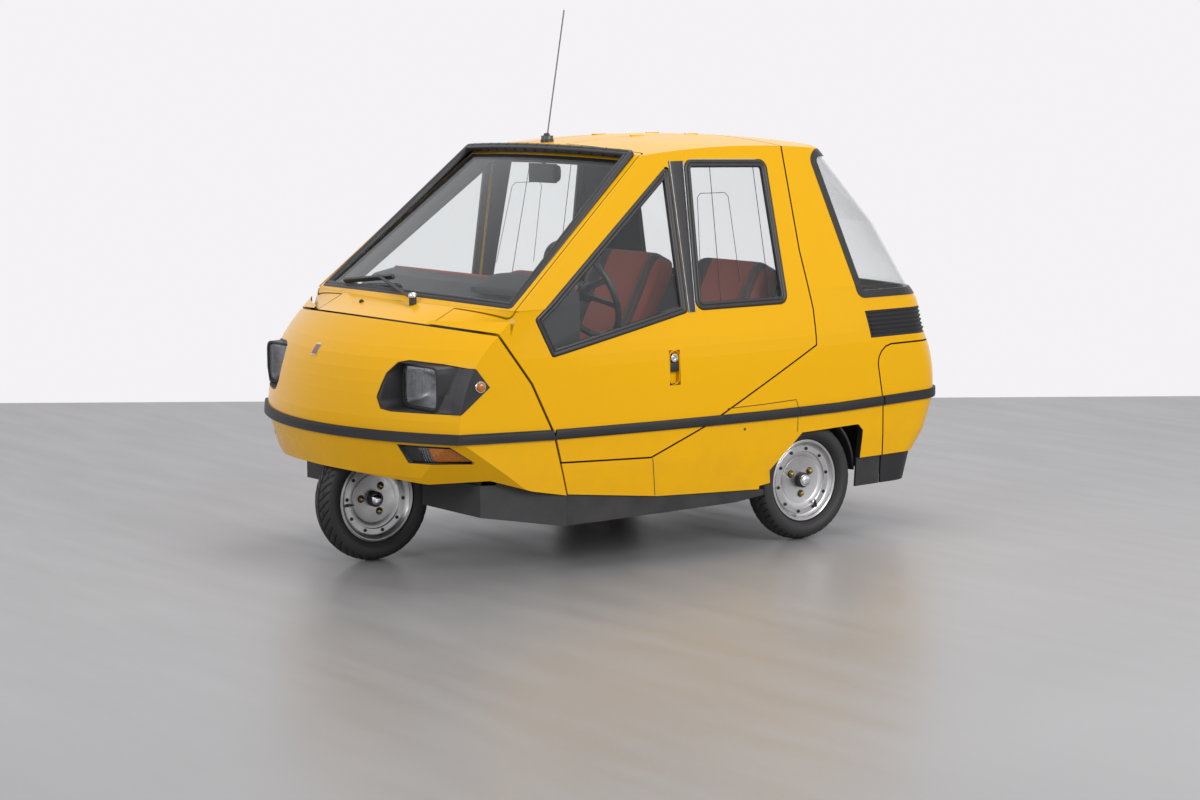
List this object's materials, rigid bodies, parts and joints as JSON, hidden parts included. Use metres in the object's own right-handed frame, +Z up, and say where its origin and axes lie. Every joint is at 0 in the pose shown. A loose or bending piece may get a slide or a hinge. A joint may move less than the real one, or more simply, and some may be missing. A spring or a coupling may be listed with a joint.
{
  "type": "three wheeled microcar",
  "caption": "Small wedge-shaped three-wheeled two-seat car with one steered front wheel, gull-wing doors and a rear lid.",
  "frame": {"origin": "bottom centre of the whole car's box, on the ground between its sides and its ends", "axes": "-Y towards the nose, +X towards the car's left side, +Z up"},
  "size_m": [1.386, 2.4178, 1.8979],
  "materials": {
    "yellow_paint": "gloss, two coats of yellow over moulded panels",
    "black_trim": "fine grain",
    "black_metal": "satin black",
    "seal_rubber": "matt",
    "tyre_rubber": "matt, slightly dusty",
    "clear_glass": "clear, a little green",
    "lamp_glass": "ribbed clear lens",
    "tail_lens": "red lens",
    "rim_alloy": "satin, lightly weathered",
    "bright_metal": "polished",
    "engine_metal": "dull",
    "seat_fabric": "suede-like cloth with black edges",
    "wheel_grip": "soft grey spokes and black grip"
  },
  "bodies": {
    "body": {"antenna": "black_trim", "body_shell": "yellow_paint", "bumper_lamps": "lamp_glass", "bumper_strips": "black_trim", "cabin_mirror": "black_trim", "chassis_frame": "black_metal", "dashboard": "black_trim", "engine_block": "engine_metal", "floor_pan": "black_metal", "front_bulkhead": "black_metal", "headlamp_bezels": "black_trim", "headlamps": "lamp_glass", "nose_shell": "yellow_paint", "rear_axle": "black_metal", "rear_shelf": "black_metal", "rear_window": "clear_glass", "rear_window_seal": "seal_rubber", "seat_backs": "seat_fabric", "seat_cushions": "seat_fabric", "skirts": "black_trim", "steering_column": "bright_metal", "steering_head": "black_metal", "vent_grilles": "black_trim", "wheel_housing": "black_metal", "wheelhouses": "black_metal", "windscreen": "clear_glass", "windscreen_frame": "yellow_paint", "windscreen_seal": "seal_rubber", "wiper": "black_metal"},
    "steering": {"front_fork": "black_metal"},
    "front_wheel": {"front_rim": "rim_alloy", "front_tyre": "tyre_rubber"},
    "rear_left_wheel": {"rear_left_rim": "rim_alloy", "rear_left_tyre": "tyre_rubber"},
    "rear_right_wheel": {"rear_right_rim": "rim_alloy", "rear_right_tyre": "tyre_rubber"},
    "door_left": {"door_left": "yellow_paint", "door_left_glass": "clear_glass", "door_left_handle": "black_trim", "door_left_seals": "seal_rubber", "door_left_strip": "black_trim"},
    "door_right": {"door_right": "yellow_paint", "door_right_glass": "clear_glass", "door_right_handle": "black_trim", "door_right_seals": "seal_rubber", "door_right_strip": "black_trim"},
    "lid": {"rear_lid": "yellow_paint", "lid_strip": "black_trim", "tail_lamps": "tail_lens"},
    "hand_wheel": {"steering_wheel": "wheel_grip"}
  },
  "joints": [
    {"name": "steering_turn", "type": "hinge", "parent": "body", "child": "steering", "pos_m": [0, -0.94, 0.5], "axis": [0, 0, 1], "range_deg": [-30, 30]},
    {"name": "front_wheel_spin", "type": "hinge", "parent": "steering", "child": "front_wheel", "pos_m": [0, -0.956, 0.215], "axis": [1, 0, 0], "continuous": true},
    {"name": "rear_left_wheel_spin", "type": "hinge", "parent": "body", "child": "rear_left_wheel", "pos_m": [0.603, 0.473, 0.215], "axis": [1, 0, 0], "continuous": true},
    {"name": "rear_right_wheel_spin", "type": "hinge", "parent": "body", "child": "rear_right_wheel", "pos_m": [-0.603, 0.473, 0.215], "axis": [1, 0, 0], "continuous": true},
    {"name": "door_left_lift", "type": "hinge", "parent": "body", "child": "door_left", "pos_m": [0.116, 0.245, 1.4465], "axis": [0, -1, 0], "range_deg": [0, 75]},
    {"name": "door_right_lift", "type": "hinge", "parent": "body", "child": "door_right", "pos_m": [-0.116, 0.245, 1.4465], "axis": [0, 1, 0], "range_deg": [0, 75]},
    {"name": "lid_lift", "type": "hinge", "parent": "body", "child": "lid", "pos_m": [0, 1.164, 0.683], "axis": [1, 0, 0], "range_deg": [0, 60]},
    {"name": "hand_wheel_turn", "type": "hinge", "parent": "body", "child": "hand_wheel", "pos_m": [0.308, -0.272, 0.921], "axis": [0, 0.9063, 0.4226], "range_deg": [-185, 185]}
  ],
  "couplings": [
    {"joint": "hand_wheel_turn", "follows": "steering_turn", "ratio": 6}
  ]
}
